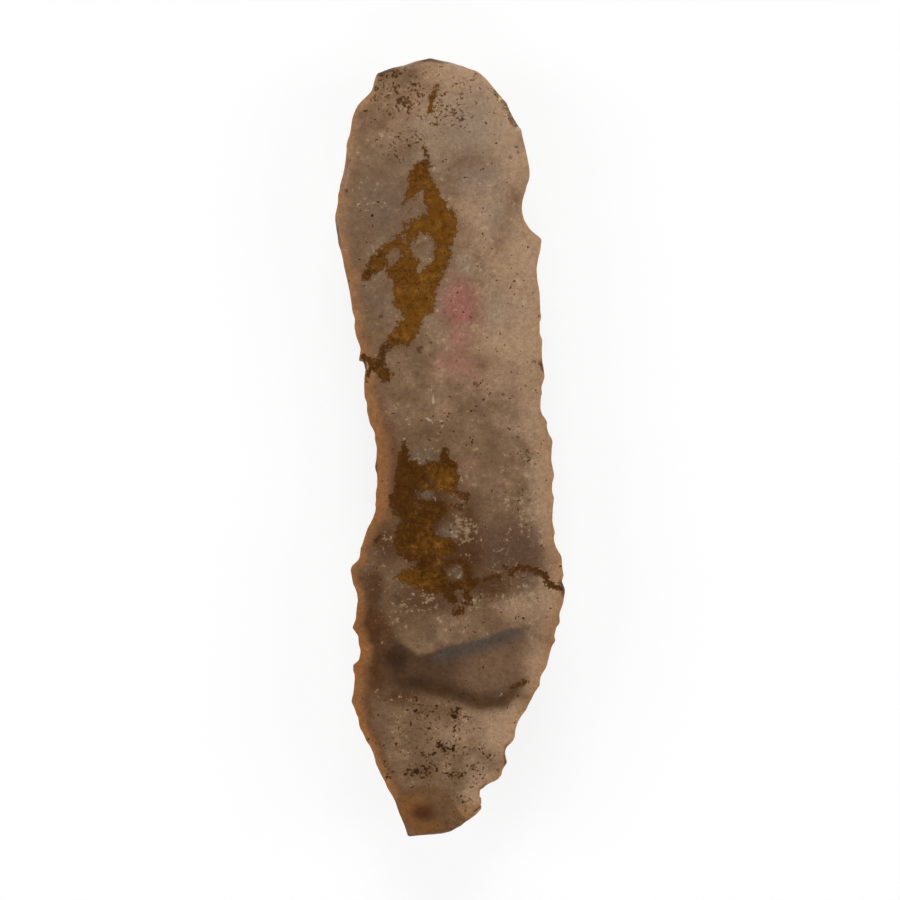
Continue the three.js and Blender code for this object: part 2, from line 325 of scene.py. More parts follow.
# Iron stains: lobes of (right, down, to right, to down, radius, to radius)
STAIN_LOBES = [
    (437, 84, 430, 110, 2.6, 3.4), (424, 148, 429, 164, 1.6, 2.6),
    (422, 167, 417, 176, 7, 8), (424, 174, 436, 208, 6, 9), (417, 178, 406, 208, 6, 3.5),
    (436, 205, 442, 222, 9, 15), (425, 222, 444, 232, 8, 12), (446, 222, 440, 258, 11, 9),
    (404, 224, 425, 226, 3, 7), (412, 232, 378, 262, 7, 9), (378, 262, 367, 275, 7, 5),
    (400, 240, 408, 262, 4, 9), (410, 264, 392, 272, 9, 6), (440, 258, 428, 282, 9, 11),
    (405, 270, 408, 300, 12, 14), (424, 284, 422, 304, 12, 12), (412, 300, 413, 322, 16, 8),
    (412, 322, 406, 338, 9, 8), (404, 332, 394, 340, 9, 6), (398, 336, 384, 348, 6, 4),
    (384, 348, 381, 362, 3.6, 4.4), (364, 358, 378, 366, 3, 5), (378, 366, 386, 376, 5, 6),
    (376, 367, 367, 372, 4, 2.6), (364, 357, 366, 380, 1.6, 1.4),
    (404, 447, 404, 470, 4, 8), (444, 449, 446, 466, 3.4, 8), (406, 470, 450, 470, 10, 8),
    (407, 474, 404, 506, 12, 12), (448, 468, 449, 483, 10, 9), (420, 478, 450, 486, 14, 5),
    (450, 489, 468, 496, 2.6, 1.8), (468, 496, 460, 508, 2, 2.4), (460, 508, 452, 504, 2.4, 2),
    (396, 500, 414, 512, 8, 12), (416, 510, 436, 510, 12, 11), (420, 520, 414, 545, 16, 17),
    (404, 530, 404, 548, 9, 9), (420, 540, 448, 547, 14, 9), (430, 552, 436, 580, 12, 12),
    (422, 560, 428, 572, 6, 14), (402, 577, 424, 577, 5, 13), (404, 579, 430, 587, 4, 6),
    (446, 562, 462, 561, 4, 3), (462, 561, 469, 573, 3, 3.2), (469, 573, 470, 585, 3.2, 4.6),
    (440, 586, 470, 586, 6, 4), (448, 592, 452, 598, 6, 6), (466, 588, 468, 602, 4, 4),
    (466, 603, 458, 612, 3.2, 3.4), (455, 612, 462, 612, 3, 2), (472, 585, 484, 579, 4, 2),
    (484, 579, 499, 577, 2.2, 2), (503, 565, 510, 573, 1.6, 3.2), (510, 572, 522, 567, 3.2, 2.4),
    (522, 567, 543, 573, 2.2, 3), (543, 573, 551, 585, 3, 2.8), (551, 585, 561, 589, 2.4, 2.2),
    (380, 536, 376, 541, 2, 3), (512, 688, 526, 682, 2, 1.6),
]
# Islands of clean stone in the stains, as lobes
STAIN_HOLES = [
    (419, 191, 414, 203, 1.6, 3), (412, 203, 402, 213, 3.4, 5), (404, 213, 416, 218, 4, 2.6),
    (427, 246, 426, 256, 8, 8.6), (394, 253, 394, 256, 6, 6.5), (403, 236, 405, 242, 2.5, 2.5),
    (424, 451, 421, 459, 8, 6), (427, 495, 430, 495, 5.4, 5), (434, 482, 431, 480, 2, 1.4),
    (448, 528, 443, 533, 8, 5), (457, 569, 456, 575, 6, 6), (446, 499, 452, 494, 2.6, 2),
    (394, 566, 412, 566, 4, 1.5), (405, 290, 402, 287, 1.6, 1.2),
]
# Soft patches: (right, down, half right, half down, strength)
PATCHES = {
    "Beige": [
        (465, 78, 44, 24, 1), (455, 100, 60, 30, 0.7), (500, 120, 40, 60, 0.9), (530, 262, 46, 56, 1),
        (522, 330, 50, 80, 0.95),
        (480, 215, 34, 70, 0.7), (545, 410, 40, 50, 0.9), (505, 425, 30, 20, 0.35), (551, 490, 22, 90, 1),
        (530, 607, 40, 20, 0.7), (554, 582, 22, 60, 1), (505, 730, 34, 34, 1), (455, 740, 44, 20, 0.45),
        (480, 790, 20, 34, 1), (540, 668, 24, 30, 1), (455, 365, 34, 34, 0.5), (425, 130, 40, 24, 0.6),
        (520, 165, 40, 34, 0.9), (435, 395, 28, 22, 0.5), (495, 418, 26, 14, 0.4), (500, 222, 24, 24, 0.5),
    ],
    "Ash": [
        (470, 125, 36, 44, 0.85), (478, 178, 30, 24, 0.8), (430, 132, 34, 20, 0.6), (495, 215, 26, 26, 0.5),
        (462, 270, 22, 22, 0.6), (500, 310, 26, 30, 0.5), (425, 163, 44, 20, 0.65), (438, 300, 16, 34, 0.6),
        (462, 640, 60, 8, 0.3),
    ],
    "Grey": [
        (385, 205, 38, 52, 0.8), (378, 298, 22, 34, 0.7), (474, 165, 34, 24, 0.6), (455, 186, 18, 20, 0.5),
        (386, 350, 20, 12, 0.6), (424, 455, 14, 12, 0.9), (427, 495, 9, 9, 0.9), (448, 531, 12, 9, 0.9),
        (457, 572, 9, 9, 0.7), (427, 250, 12, 14, 0.6), (394, 254, 10, 10, 0.6),
    ],
    "Mauve": [
        (440, 300, 18, 26, 0.4), (508, 546, 42, 30, 1), (360, 240, 14, 50, 0.4), (478, 404, 26, 10, 0.3),
        (392, 460, 10, 30, 0.7), (530, 560, 26, 26, 0.9), (440, 432, 40, 16, 0.4), (500, 500, 40, 14, 0.35),
    ],
    "Umber": [
        (372, 620, 20, 26, 0.95), (376, 655, 22, 42, 1.5), (402, 618, 22, 18, 0.5), (388, 545, 22, 30, 0.8),
        (376, 740, 16, 34, 0.4), (374, 590, 14, 34, 0.85), (368, 708, 12, 28, 0.5), (436, 816, 16, 14, 0.5),
        (412, 800, 26, 20, 0.4), (400, 695, 30, 14, 0.75), (352, 290, 12, 80, 0.2), (425, 600, 60, 20, 0.7),
        (440, 712, 40, 12, 0.4), (425, 515, 38, 70, 1), (464, 560, 26, 40, 1), (488, 586, 36, 18, 0.8),
        (488, 697, 28, 9, 0.9), (470, 516, 16, 30, 0.7), (425, 436, 40, 14, 0.35),
    ],
    "Blob": [(396, 660, 14, 18, 0.85), (420, 682, 18, 8, 0.5)],
    "Pink": [
        (461, 305, 20, 28, 1), (459, 340, 16, 24, 0.55), (460, 364, 26, 18, 0.6), (505, 668, 34, 20, 0.3),
        (458, 280, 16, 14, 0.5), (444, 300, 12, 24, 0.35),
    ],
    "Speck": [
        (402, 98, 40, 30, 1.25), (440, 106, 50, 30, 1), (398, 72, 24, 10, 1.7), (418, 138, 40, 14, 1),
        (458, 122, 18, 12, 1.2), (470, 88, 18, 18, 0.9), (395, 150, 22, 12, 0.9), (420, 710, 18, 12, 1.4),
        (455, 714, 11, 11, 1.4), (444, 748, 20, 14, 1.6), (422, 771, 22, 10, 1.6), (456, 775, 16, 10, 1.4),
        (476, 772, 16, 10, 1.4), (486, 758, 9, 9, 1.2), (387, 771, 9, 9, 1.2), (441, 745, 60, 44, 0.9),
        (524, 455, 16, 18, 0.8), (482, 388, 16, 9, 0.8), (527, 498, 12, 22, 0.6), (505, 340, 40, 80, 0.25),
        (380, 745, 12, 16, 0.9), (466, 800, 16, 16, 0.9), (505, 770, 12, 16, 0.9),
    ],
    "Manganese": [
        (420, 710, 14, 9, 1.1), (455, 714, 8, 8, 1.2), (444, 748, 14, 11, 1.4), (422, 771, 16, 7, 1.4),
        (456, 775, 12, 8, 1), (476, 772, 13, 8, 1), (486, 758, 7, 7, 0.8), (387, 771, 7, 7, 0.8),
        (441, 745, 50, 36, 0.35), (390, 76, 14, 9, 1), (405, 100, 26, 20, 0.4),
    ],
    "Fleck": [
        (461, 533, 18, 20, 1), (525, 505, 26, 34, 0.75), (520, 600, 40, 22, 0.75), (382, 548, 16, 12, 0.6),
        (435, 604, 66, 16, 0.6), (498, 698, 10, 5, 1), (500, 280, 44, 70, 0.45), (470, 500, 40, 50, 0.4),
    ],
}
# Where the iron stain is bright
TONES = [
    (425, 235, 55, 75, 1), (412, 310, 40, 40, 1), (442, 480, 20, 16, 0.8), (436, 540, 26, 26, 0.6),
    (412, 580, 30, 12, 0.8), (434, 97, 12, 20, 0.9),
]
# The patches that lie on the ventral face alone, and how far pink ones keep specks away
VENTRAL_PATCHES = ("Pink", "Speck", "Manganese", "Fleck")
CLEAN_PINK = 0.8
# Two edges of a dark layer in the flint, as lines of (right, down), and how the dark lies between them
LAYER_TOP = [
    (362, 606), (375, 622), (396, 641), (420, 656), (450, 647), (482, 639), (510, 629), (538, 624),
    (562, 628),
]
LAYER_BOTTOM = [
    (362, 682), (396, 689), (420, 692), (450, 698), (480, 710), (505, 708), (524, 688), (545, 668),
]
EDGE_CRISP, TOP_FADE, BOTTOM_FADE, DARKEST = 5, 24, 28, 2
# Where the layer fades along itself: (right where it is gone, right where it is whole)
LAYER_LEFT, LAYER_RIGHT = (370, 408), (550, 500)
LAYER_TOP_LEFT, LAYER_ROOT = (420, 445), (486, 436)
# How much the colour is lightened or darkened along the stone: (down, factor)
SHADE = [
    (59, 1.05), (150, 1.03), (250, 0.99), (350, 0.98), (420, 0.94), (520, 0.93), (570, 0.88),
    (600, 0.88), (640, 0.92), (700, 0.92), (760, 0.96), (800, 0.93), (836, 0.9),
]
# The broken-off distal end, smooth and dark: the line that bounds it
TIP_LINE = [(380, 806), (406, 786), (430, 779), (448, 790), (462, 812), (492, 830)]
TIP_EDGE = (-2, 9)
# Where the light that comes through the thin tip is painted as an orange glow
TIP_GLOWS = [(410, 815, 16, 22, 1), (425, 828, 22, 8, 0.7)]
TIP_SPOTS = [(423, 812, 13, 9, 1)]
# Darker patches in the nicks of the margin, and on the slivers of the crested side that show beside it
NICKS = [
    (388, 72, 18, 8, 1), (436, 61, 34, 4, 0.8), (485, 68, 18, 6, 0.8), (470, 66, 8, 3, 0.8),
    (348.5, 168, 3, 20, 0.8), (338, 238, 3, 18, 0.8), (365, 376, 2, 6, 0.7), (376, 470, 3, 20, 0.7),
    (543, 365, 4, 8, 1), (563, 588, 5, 10, 1), (382, 535, 6, 10, 1), (507, 760, 5, 20, 0.9),
    (484, 790, 8, 8, 0.9),
]
NICK_REACH = (0.9, 0.2)  # from the outline, in mm
# Single dark spots, a little wider than high: (right, down, radius)
SPOT_WIDENING = 0.8
DARK_SPOTS = [
    (492, 276, 2.2), (517, 275, 2), (470, 317, 1.6), (444, 312, 1.4), (475, 383, 2.6), (478, 386, 1.6),
    (484, 391, 1.6), (497, 393, 1.8), (502, 394, 1.4), (419, 350, 3), (421, 347, 1.6), (380, 316, 2),
    (393, 395, 2), (517, 437, 1.8), (526, 452, 2.2), (529, 458, 1.8), (524, 446, 1.6), (534, 464, 1.4),
    (517, 152, 1.8), (510, 157, 1.8), (516, 147, 1.4), (539, 316, 2.2), (541, 363, 2.4), (533, 361, 2),
    (525, 385, 1.6), (504, 336, 1.6), (508, 362, 1.4), (430, 343, 1.5), (431, 356, 1.5), (529, 500, 1.8),
    (517, 476, 1.5), (523, 490, 1.4), (478, 497, 1.6), (435, 166, 1.6), (380, 146, 1.7), (395, 151, 1.5),
    (345, 191, 2), (418, 765, 2), (392, 449, 1.3), (373, 429, 1.8), (462, 546, 1.6), (542, 547, 2),
    (503, 698, 1.4), (486, 762, 1.6), (449, 170, 1.2), (500, 560, 1.4), (499, 640, 1.4),
]
# Pale marks: a scratch and a few flecks
PALE_MARKS = [
    (431, 386, 434, 404, 0.7, 1.3), (427, 418, 430, 421, 1, 1.6), (434, 404, 433, 398, 1.3, 0.7),
    (498, 697, 502, 694, 0.3, 0.7), (435, 499, 434, 497, 1.5, 1), (405, 437, 404, 439, 1, 1),
]

# The honey-coloured rim, a painted glow of the light that comes through the thin margins: (down, width in mm,
# warmth from pale 0 to deep orange 1)
LEFT_RIM = [
    (59, 0.5, 0.1), (100, 1.5, 0.3), (150, 1.9, 0.35), (250, 2.2, 0.5), (300, 2, 0.55), (350, 2.4, 0.65),
    (395, 2.8, 0.65), (430, 3.2, 0.75), (460, 3.6, 0.8), (510, 3.2, 0.85), (545, 1.8, 0.75), (600, 1.8, 0.85),
    (625, 2, 0.95), (650, 2.4, 1), (680, 3, 1), (720, 2.2, 1), (760, 1.8, 0.75), (800, 2, 0.8), (836, 3.4, 1),
]
RIGHT_RIM = [
    (59, 0.5, 0), (200, 1.1, 0), (330, 1.5, 0.1), (400, 1.6, 0.12), (460, 2, 0.12), (510, 1.9, 0.18),
    (560, 2.8, 0.3), (640, 2.8, 0.35), (680, 2.2, 0.35), (720, 1.6, 0.15), (800, 1.4, 0.2), (836, 3.4, 0.8),
]
# The cortex: the nodule's rind on the right flank, whole down to the first step and gone at the
# second, and where it shows from above
CORTEX_START, CORTEX_END = 165, 265
CORTEX_CHIP = [(496, 92, 506, 108, 3, 4.5), (506, 108, 515, 123, 4.5, 4)]
CHIP_EDGE, VENTRAL_CHIP = (-1.5, 1.5), 0.4

WARM_FROM, WARM_TO = 0.35, 0.9  # the rim's warmth where its painted glow turns reddish further in
INLAND = 2.4  # mm from the outline, where the relief has its full depth


def outline_field(tree, points):
    """For each point: its distance from the outline, the outline place nearest to it, and its side."""
    gap, near = np.zeros(len(points)), np.zeros((len(points), 2))
    for number, (x, y, _) in enumerate(points):
        place, _, distance = tree.find((x, y, 0))
        gap[number], near[number] = distance, place[:2]
    return gap, near, np.where(near[:, 0] < (MIDDLE_RIGHT - CENTRE_RIGHT) * STEP, -1, 1)


def table_at(rows, column, places):
    """A column of a table at those places of its first column."""
    return np.interp(places, [row[0] for row in rows], [row[column] for row in rows])


def scar_starts(mesh, points):
    """For each point, the place where the flake of its scar was struck: the scar's end at the crest."""
    layer = mesh.faces.layers.int["Scar"]
    members = {}
    for face in mesh.faces:
        members.setdefault(face[layer], set()).update(vert.index for vert in face.verts)
    starts = np.zeros((len(points), 3))
    for chosen in members.values():
        chosen = np.array(sorted(chosen))
        height = points[chosen, 2]
        lowest = height <= np.quantile(height, LOWEST_SHARE)
        starts[chosen] = points[chosen][lowest].mean(0)
    return starts


stone = fine_stone()
stone.verts.index_update()
points = np.array([vert.co[:] for vert in stone.verts])
edges = np.array([[vert.index for vert in edge.verts] for edge in stone.edges])
creased = np.array([not edge.smooth for edge in stone.edges])
stone.normal_update()
on_outline = np.array([is_outline(edge) for edge in stone.edges])
points = rounded(points, edges, creased, on_outline)

spots = in_frame(points)
start, end, inner, outer, widening = WIDER_LOBE
swelling = np.sin(np.clip((spots[:, 1] - start) / (end - start), 0, 1) * math.pi)
points[:, 0] += widening * STEP * swelling * smoothstep(inner, outer, spots[:, 0])
spots = in_frame(points)
for start, end, right, way in BROKEN_BACK:
    proud = (spots[:, 1] > start) & (spots[:, 1] < end) & ((spots[:, 0] - right) * way > 0)
    points[proud, 0] = on_stone(right, start)[0]
past = np.maximum(HANGING_FROM - points[:, 1], 0)
lowest = np.where(past > 0, HANGING_LEVEL + HANGING_RISE * past, 0)
points[:, 2] = np.maximum(points[:, 2], lowest)
spots = in_frame(points)
for vert, point in zip(stone.verts, points):
    vert.co = Vector(point)
stone.normal_update()
normals = np.array([vert.normal[:] for vert in stone.verts])
outline = outline_tree(stone)
gap, near, side = outline_field(outline, points)

near_down = in_frame(near)[:, 1]
ventral, upper, under = (
    smoothstep(*tilts, normals[:, 2]) for tilts in (VENTRAL_TILT, UPPER_TILT, UNDER_TILT))
starts = scar_starts(stone, points)
blow = np.array((*on_stone(*PERCUSSION), HIGH[2]))
starts[ventral > 0.5] = blow
strike = np.linalg.norm(points - starts, axis=1)
bearing = np.arctan2(points[:, 1] - starts[:, 1], points[:, 0] - starts[:, 0])
bearing *= np.where(ventral > 0.5, VENTRAL_FAN, FLANK_FAN)

rim_width, rim_warmth = (
    np.where(side < 0, table_at(LEFT_RIM, column, near_down), table_at(RIGHT_RIM, column, near_down))
    for column in (1, 2))
stain = np.minimum(lobes(spots, STAIN_LOBES), -lobes(spots, STAIN_HOLES))
below_top = spots[:, 1] - np.interp(spots[:, 0], *zip(*LAYER_TOP))
above_bottom = np.interp(spots[:, 0], *zip(*LAYER_BOTTOM)) - spots[:, 1]
layer = smoothstep(-EDGE_CRISP, EDGE_CRISP, below_top)
layer *= smoothstep(-EDGE_CRISP * 2, EDGE_CRISP * 2, above_bottom)
layer *= smoothstep(*LAYER_RIGHT, spots[:, 0]) * smoothstep(*LAYER_LEFT, spots[:, 0])
tip_down = np.interp(spots[:, 0], *zip(*TIP_LINE))
spot_rows = [(right, down, right + SPOT_WIDENING, down, radius, radius) for right, down, radius in DARK_SPOTS]
right_flank = under * smoothstep(*RIGHT_TILT, normals[:, 0])
cortex = right_flank * smoothstep(CORTEX_END, CORTEX_START, spots[:, 1])
chip = smoothstep(*CHIP_EDGE, lobes(spots, CORTEX_CHIP)) * (1 - ventral * VENTRAL_CHIP)

# The fields that the relief and the colours read
FIELDS = {
    "Under": under,
    "Gap": gap,
    "Inland": smoothstep(0, INLAND, gap),
    "Rim": np.clip(1 - gap / rim_width, 0, 1),
    "Warmth": rim_warmth,
    "Deep": smoothstep(WARM_FROM, WARM_TO, rim_warmth),
    "Nick": patches(spots, NICKS) * smoothstep(*NICK_REACH, gap),
    "Stain": stain * STEP - OUTSIDE * (1 - upper),
    "Tone": patches(spots, TONES),
    "Layer": layer,
    "Layer top": layer * smoothstep(TOP_FADE, DARKEST, below_top) * smoothstep(*LAYER_TOP_LEFT, spots[:, 0]),
    "Layer bottom": layer * smoothstep(BOTTOM_FADE, DARKEST, above_bottom),
    "Layer root": layer * smoothstep(*LAYER_ROOT, spots[:, 0]),
    "Shade": table_at(SHADE, 1, spots[:, 1]),
    "Tip": smoothstep(*TIP_EDGE, spots[:, 1] - tip_down),
    "Tip glow": patches(spots, TIP_GLOWS),
    "Tip spot": patches(spots, TIP_SPOTS) * ventral,
    "Spot": lobes(spots, spot_rows) * STEP - OUTSIDE * (1 - upper),
    "Pale mark": lobes(spots, PALE_MARKS) * STEP - OUTSIDE * (1 - ventral),
    "Cortex": np.maximum(cortex, chip),
    "Strike": strike,
    "Bearing": bearing,
}
for name, rows in PATCHES.items():
    FIELDS[name] = patches(spots, rows) * (ventral if name in VENTRAL_PATCHES else 1)
FIELDS["Speck"] -= FIELDS["Pink"] * CLEAN_PINK

for vert in stone.verts:
    vert.co *= MM
for face in stone.faces:
    face.smooth = True
skin = bpy.data.meshes.new("blade_flint")
stone.to_mesh(skin)
stone.free()
for name, values in FIELDS.items():
    field = skin.attributes.new(name, "FLOAT", "POINT")
    field.data.foreach_set("value", values.astype(np.float32))
# Which way is inwards from the margin, evened out along it
outward = normals * (1, 1, 0)
for _ in range(DIRECTION_SMOOTHINGS):
    outward = neighbour_mean(edges[on_outline], outward)[0]
outward /= np.maximum(np.linalg.norm(outward, axis=1), TINY)[:, None]
margin_points = kdtree.KDTree(len(points))
for number in np.unique(edges[on_outline]):
    margin_points.insert((*points[number, :2], 0), int(number))
margin_points.balance()
inward = -outward[[margin_points.find((x, y, 0))[1] for x, y, _ in points]]
field = skin.attributes.new("Inward", "FLOAT_VECTOR", "POINT")
field.data.foreach_set("vector", inward.astype(np.float32).ravel())
field = skin.attributes.new("Outline", "BOOLEAN", "EDGE")
field.data.foreach_set("value", on_outline)

blade = bpy.data.objects.new("blade_flint", skin)
bpy.context.scene.collection.objects.link(blade)

# ---------------------------------------------------------------- the flint's finish

# Noises over the stone: (name, size in mm, detail, roughness)
NOISES = [
    ("grain", 0.3, 2, 0.7), ("speckle", 0.36, 1, 0.6), ("fray", 0.5, 3, 0.75), ("crumb", 0.62, 3, 0.7),
    ("mottle", 1.1, 3, 0.65), ("cloud", 2.9, 4, 0.62), ("drift", 9, 3, 0.55),
]
# Noises that are a noise with some of a second one: (name, first, second, share)
BLENDS = [
    ("frayed", "fray", "mottle", 0.6), ("clusters", "speckle", "mottle", 1.1),
    ("crumbs", "crumb", "cloud", 0.5),
]

BASE_COLOUR = "#735840"
# The colours, each painted over those before it:
# (name, colour, field, noise, how far it swings, from, to, strength, within)
PAINT = [
    # The waxy skin, with its paler, greyer and mauver parts
    ("paler skin", "#8d7054", "", "cloud", 2, -0.3, 0.5, 0.9, ""),
    ("beige", "#a4866a", "Beige", "cloud", 0.9, 0.05, 0.95, 0.95, ""),
    ("ash", "#907c68", "Ash", "cloud", 0.9, 0.05, 0.95, 0.9, ""),
    ("mauve", "#5b4232", "Mauve", "cloud", 1, 0.1, 0.9, 0.85, ""),
    ("umber", "#4d2d12", "Umber", "cloud", 0.8, 0.05, 0.95, 0.9, ""),
    ("grey", "#705c49", "Grey", "cloud", 1, 0.1, 0.9, 0.8, ""),
    ("pink", "#9a5f56", "Pink", "mottle", 0.8, 0, 1, 0.75, ""),
    # Pale flecks and grains, under the dark layer and the stains
    ("pale flecks", "#a88f70", "Fleck", "crumbs", 8, 0.9, 2, 0.6, ""),
    ("pale grains", "#a88f72", "", "crumbs", 5, 0.6, 1.4, 0.5, ""),
    ("dark layer", "#694f39", "Layer", "mottle", 0.5, 0.05, 0.95, 0.8, ""),
    ("layer root", "#4c3421", "Layer root", "mottle", 0.5, 0.05, 0.95, 0.85, ""),
    ("layer top", "#51463e", "Layer top", "mottle", 0.5, 0.05, 0.95, 0.9, ""),
    ("layer bottom", "#402812", "Layer bottom", "mottle", 0.6, 0.05, 1, 0.8, ""),
    ("dark blob", "#2f1a0d", "Blob", "cloud", 0.6, 0.1, 0.9, 0.85, ""),
    # The crested side, which is a little browner, and the ochre that the ground left on it
    ("crested side", "#694d33", "Under", "cloud", 1, 0, 1, 0.65, ""),
    ("ochre", "#6a4826", "Under", "drift", 3, 0.85, 1.5, 0.8, ""),
    # The thin margins, which light gets through, with that light painted into the colour as a glow: reddish
    # further in, honey or pale tan at the rim
    ("warm depth glow", "#5e3716", "Rim", "cloud", 0.4, 0.02, 0.5, 0.85, "Deep"),
    ("pale rim glow", "#a8835f", "Rim", "cloud", 0.5, 0.1, 1.1, 0.6, ""),
    ("honey rim glow", "#935a26", "Rim", "cloud", 0.5, 0.3, 1.05, 0.85, "Warmth"),
    ("tip", "#684a2d", "Tip", "cloud", 0.6, 0.1, 0.9, 0.75, ""),
    # Painted glow of the light that comes through the thin tip
    ("tip glow", "#855425", "Tip glow", "cloud", 0.6, 0.1, 0.9, 0.5, ""),
    ("tip spot", "#482310", "Tip spot", "mottle", 0.5, 0.1, 0.9, 0.85, ""),
    # Iron stains, ragged at their edges
    ("stain", "#4b2900", "Stain", "frayed", 2.4, -0.1, 0.1, 1, ""),
    ("bright stain", "#69400a", "Tone", "frayed", 1.6, 0.05, 0.8, 0.95, "stain"),
    ("ochre stain", "#8f6016", "", "mottle", 5, 0.1, 1.1, 0.5, "bright stain"),
    ("stain edge", "#452303", "Stain", "fray", 1, 0.5, 0, 0.45, "stain"),
    ("dark stain", "#3a2000", "", "frayed", -3, 0, 0.8, 0.65, "stain"),
    ("worn stain", "#66502f", "", "clusters", 1, 0.1, 0.3, 0.45, "stain"),
    # Specks of manganese and iron, in clusters
    ("rusty haze", "#5c4023", "Manganese", "mottle", 3, 0.5, 1.5, 0.5, ""),
    ("rusty specks", "#4e2f0e", "Speck", "clusters", 4.5, 1.12, 1.8, 0.85, ""),
    ("dark specks", "#2c1500", "Manganese", "clusters", 4.3, 1.15, 1.65, 0.95, ""),
    ("dark spots", "#402a18", "Spot", "fray", 1.4, -0.06, 0.16, 0.75, ""),
    ("darker nicks", "#402611", "Nick", "mottle", 1, 0.2, 0.9, 0.8, ""),
    ("pale marks", "#b5a28c", "Pale mark", "fray", 0.5, -0.05, 0.07, 0.7, ""),
    # The rind of the nodule, buff and brown: its crests chalky and also painted lighter as if lit, and
    # painted shadow in its pits
    ("rind", "#86694a", "Cortex", "cloud", 1.8, 0.35, 0.6, 1, ""),
    ("brown rind", "#5c4321", "", "mottle", 3, -0.3, 0.5, 0.8, "rind"),
    ("chalky lit crests", "#c9a878", "", "frayed", 2, -0.05, 0.25, 0.9, "rind"),
    ("rind pit shadows", "#35240f", "", "clusters", -7, 0.7, 1.6, 0.8, "rind"),
]
# How much each noise, field or layer adds to the skin's lightness, roughness and height in mm
LIGHTNESS = [("grain", 0.5), ("fray", 0.85), ("crumb", 0.4), ("mottle", 0.5), ("cloud", 0.1), ("drift", 0.15)]
ROUGHNESS = [("mottle", 0.15), ("Under", 0.12), ("rind", 0.36)]
HEIGHT = [("grain", 0.02), ("fray", 0.015), ("mottle", 0.03), ("chalky lit crests", 0.12)]
# Flint is quartz grains too fine to see: it breaks as smooth as glass, and in the ground a thin
# skin of it turns dull and mottled. So it looks waxy rather than shiny, light gets a little way
# in, and only the rind and the dusty crested side are rougher.
BASE_ROUGHNESS, FLINT_IOR, FLINT_SPECULAR = 0.33, 1.54, 0.28
GLOW_SHARE, GLOW_REACH = 0.1, (0.9, 0.45, 0.2)  # in mm for red, green and blue


def flint_material():
    """Flint, struck and then patinated in the ground: glassy stone under a waxy, mottled skin."""
    material = bpy.data.materials.new("patinated flint")
    material.use_nodes = True
    tree = material.node_tree
    tree.nodes.clear()
    place = add(tree, "ShaderNodeTexCoord", {}, {}, "Object")
    read = {"Shade"}.union(*PAINT, *ROUGHNESS)  # with every field that a row names
    parts = {name: add(tree, "ShaderNodeAttribute", {"attribute_name": name}, {}, "Fac")
             for name in FIELDS if name in read}
    parts[""] = 0
    for name, size, detail, rough in NOISES:
        noise = add(tree, "ShaderNodeTexNoise", {}, {
            "Vector": place, "Scale": 1 / (size * MM), "Detail": detail, "Roughness": rough}, "Fac")
        parts[name] = add(tree, "ShaderNodeMath", {"operation": "SUBTRACT"}, [noise, 0.5])
    for name, first, second, share in BLENDS:
        parts[name] = add(tree, "ShaderNodeMath", {"operation": "MULTIPLY_ADD"},
                          [parts[second], share, parts[first]])

    colour = hex_colour(BASE_COLOUR)
    for name, tint, field, noise, swing, start, end, strength, within in PAINT:
        reach = add(tree, "ShaderNodeMath", {"operation": "MULTIPLY_ADD"},
                    [parts[noise], swing, parts[field]])
        amount = add(tree, "ShaderNodeMapRange", {"interpolation_type": "SMOOTHSTEP"}, {
            "Value": reach, "From Min": start, "From Max": end, "To Max": strength})
        if within:
            amount = add(tree, "ShaderNodeMath", {"operation": "MULTIPLY"}, [amount, parts[within]])
        parts[name] = amount
        colour = add(tree, "ShaderNodeMix", {"data_type": "RGBA"}, [amount, colour, hex_colour(tint)])
    sums = []
    for rows, start in [(LIGHTNESS, parts["Shade"]), (ROUGHNESS, BASE_ROUGHNESS), (HEIGHT, 0)]:
        for name, share in rows:
            start = add(tree, "ShaderNodeMath", {"operation": "MULTIPLY_ADD"}, [parts[name], share, start])
        sums.append(start)
    lightness, roughness, height = sums
    colour = add(tree, "ShaderNodeVectorMath", {"operation": "SCALE"},
                 {"Vector": colour, "Scale": lightness})
    bump = add(tree, "ShaderNodeBump", {}, {"Height": height, "Distance": MM, "Strength": 1})
    shader = add(tree, "ShaderNodeBsdfPrincipled", {}, {
        "Base Color": colour, "Roughness": roughness, "Normal": bump, "IOR": FLINT_IOR,
        "Specular IOR Level": FLINT_SPECULAR, "Subsurface Weight": GLOW_SHARE,
        "Subsurface Radius": GLOW_REACH, "Subsurface Scale": MM})
    add(tree, "ShaderNodeOutputMaterial", {}, {"Surface": shader})
    return material


# ---------------------------------------------------------------- what the blows left in the stone

RELIEF_FIELDS = ["Under", "Gap", "Inland", "Cortex", "Strike", "Bearing"]
FISSURE_RUN = 0.1  # how fast a fissure changes along its length
STRAY = 0.8  # mm, how far a chip lies from its place in the row
# The relief tree's inputs: (name, kind of socket, value), sizes in mm
RELIEF_SIZES = [
    ("Ripple pitch", "Float", 1.7), ("Ripple depth", "Float", 0.06), ("Ripple warp", "Float", 5.0),
    ("Warp size", "Float", 5.0), ("Fissure depth", "Float", 0.08), ("Fissure reach", "Float", 5.0),
    ("Swell size", "Float", 3.6), ("Swell depth", "Float", 0.22), ("Pit size", "Float", 1.1),
    ("Pit depth", "Float", 0.22), ("Chip spacing", "Float", 2.7), ("Smallest chip", "Float", 0.5),
    ("Largest chip", "Float", 1.8), ("Chip depth", "Float", 0.22), ("Seed", "Int", SEED),
]
